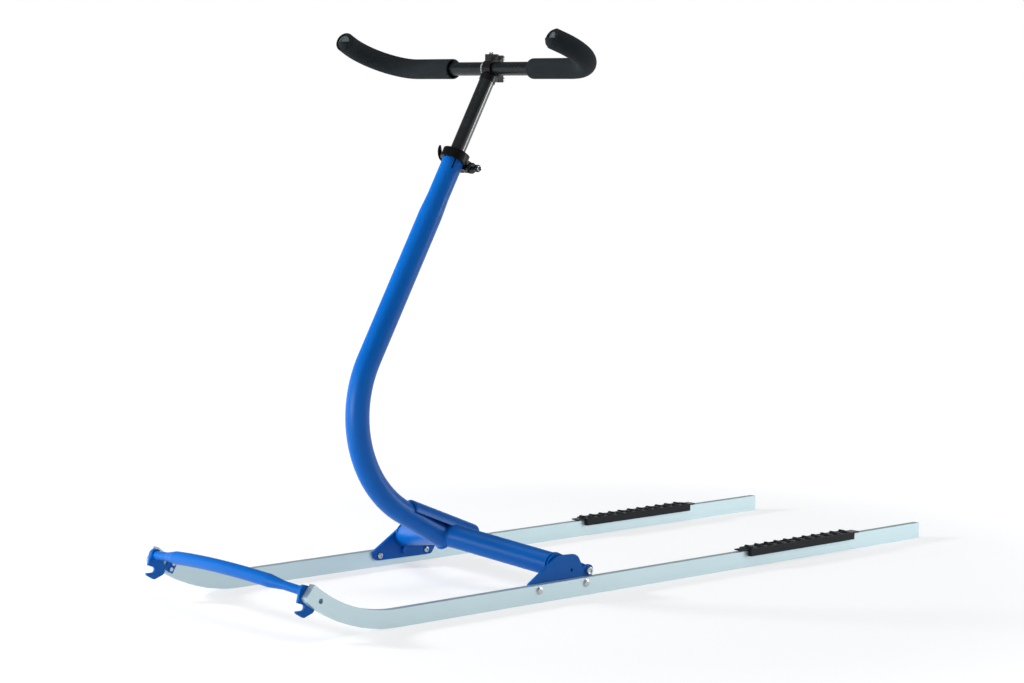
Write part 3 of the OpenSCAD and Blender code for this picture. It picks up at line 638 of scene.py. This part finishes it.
# %% [markdown]
# The floor is a wide white sheet that the camera sees almost pure white, yet it
# keeps the sled's shadow. It mixes a glow, only for camera and glossy rays, with
# plain diffuse white, and the glow takes over with distance from the sled, so
# that no horizon shows.

# %% Floor
def studio_floor():
    shape = bmesh.new()
    bmesh.ops.create_grid(shape, x_segments=1, y_segments=1, size=30)
    mesh = bpy.data.meshes.new("floor")
    shape.to_mesh(mesh)
    shape.free()
    floor = bpy.data.objects.new("floor", mesh)
    bpy.context.scene.collection.objects.link(floor)
    sheet = Finish("white_floor")
    seen = sheet.node("LightPath", out="Is Camera Ray") + sheet.node("LightPath", out="Is Glossy Ray")
    away = sheet.node("VectorMath", {"operation": "LENGTH"}, {0: sheet.place}, out="Value")
    far = sheet.node("MapRange", {"interpolation_type": "SMOOTHSTEP"},
                     {"Value": away, "From Min": 0.75, "From Max": 1.6, "To Min": 0.52, "To Max": 1.0})
    glow = sheet.node("Emission", None, {"Color": (0.985, 0.995, 1.0, 1), "Strength": 1.12})
    paper = sheet.node("BsdfDiffuse", None, {"Color": (0.92, 0.925, 0.93, 1)})
    mixed = sheet.node("MixShader", None, {0: seen * far, 1: paper, 2: glow})
    sheet.node("OutputMaterial", None, {"Surface": mixed})
    mesh.materials.append(sheet.material)
    floor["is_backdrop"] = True
    return floor


floor = studio_floor()

# %% [markdown]
# The room has pale walls and a dark ceiling: that is what makes the tops of the
# blue tubes dark and their sides bright. The camera sees plain white instead.
# Five soft boxes do the rest: a small key lamp and a low box at the left, which
# stay out of reflections, a box above, one in front, and one behind that edges the post.

# %% Room and lamps
world = bpy.data.worlds.new("studio")
bpy.context.scene.world = world
world.use_nodes = True
sky = world.node_tree
sky.nodes.clear()


def sky_node(kind, inputs=(), **settings):
    """A world node with its settings, and its inputs as (socket, value or output)."""
    made = sky.nodes.new("ShaderNode" + kind)
    for key, value in settings.items():
        setattr(made, key, value)
    for key, value in inputs:
        if isinstance(value, bpy.types.NodeSocket):
            sky.links.new(value, made.inputs[key])
        else:
            made.inputs[key].default_value = value
    return made


path = sky_node("LightPath")
place = sky_node("TexCoord")
height = sky_node("SeparateXYZ", [(0, place.outputs["Generated"])])
ceiling = {"Value": height.outputs["Z"], "From Min": 0.04, "From Max": 0.34}
walls = sky_node("MapRange", [*ceiling.items(), ("To Min", 0.32), ("To Max", 0.16)], interpolation_type="SMOOTHSTEP")
backdrop = sky_node("MapRange", [*ceiling.items(), ("To Min", 1.0), ("To Max", 0.16)], interpolation_type="SMOOTHSTEP")
shown = sky_node("Math", [(0, path.outputs["Is Camera Ray"]), (1, backdrop.outputs[0])], operation="MAXIMUM")
shiny = sky_node("Math", [(0, path.outputs["Is Glossy Ray"]), (1, path.outputs["Is Transmission Ray"])])
seen = sky_node("Math", [(0, path.outputs["Is Camera Ray"]), (1, shiny.outputs[0])], use_clamp=True)
room = sky_node("Background", [("Color", (0.90, 0.95, 1.0, 1)), ("Strength", walls.outputs[0])])
white = sky_node("Background", [("Color", (1.0, 1.0, 1.0, 1)), ("Strength", shown.outputs[0])])
choice = sky_node("MixShader", [(0, seen.outputs[0]), (1, room.outputs[0]), (2, white.outputs[0])])
sky_node("OutputWorld", [("Surface", choice.outputs[0])])


def softbox(name, place, size, power, aim=(0, -0.1, 0.4), mirrored=True):
    """A large area lamp at a place, aimed at the sled."""
    data = bpy.data.lights.new(name, "AREA")
    data.shape, data.size, data.size_y, data.energy = "RECTANGLE", *size, power
    lamp = bpy.data.objects.new(name, data)
    lamp.visible_glossy = mirrored
    lamp.location = place
    lamp.rotation_mode = "QUATERNION"
    lamp.rotation_quaternion = (Vector(aim) - Vector(place)).to_track_quat("-Z", "Y")
    bpy.context.scene.collection.objects.link(lamp)


softbox("key_lamp", (-2.5, -2.6, 1.6), (0.5, 0.5), 100, mirrored=False)
softbox("left_box", (-2.6, -2.6, 0.85), (2.2, 1.3), 36, mirrored=False)
softbox("top_box", (0.2, -0.6, 3.6), (2.0, 2.0), 42)
softbox("rear_strip", (1.9, 2.5, 1.1), (0.7, 1.8), 42)
softbox("front_box", (-0.4, -4.6, 0.55), (2.0, 0.9), 85)

# %% [markdown]
# Last, the sizes: the box round the dressed sled, with the floor left out.

# %% Sizes and finish
low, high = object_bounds()
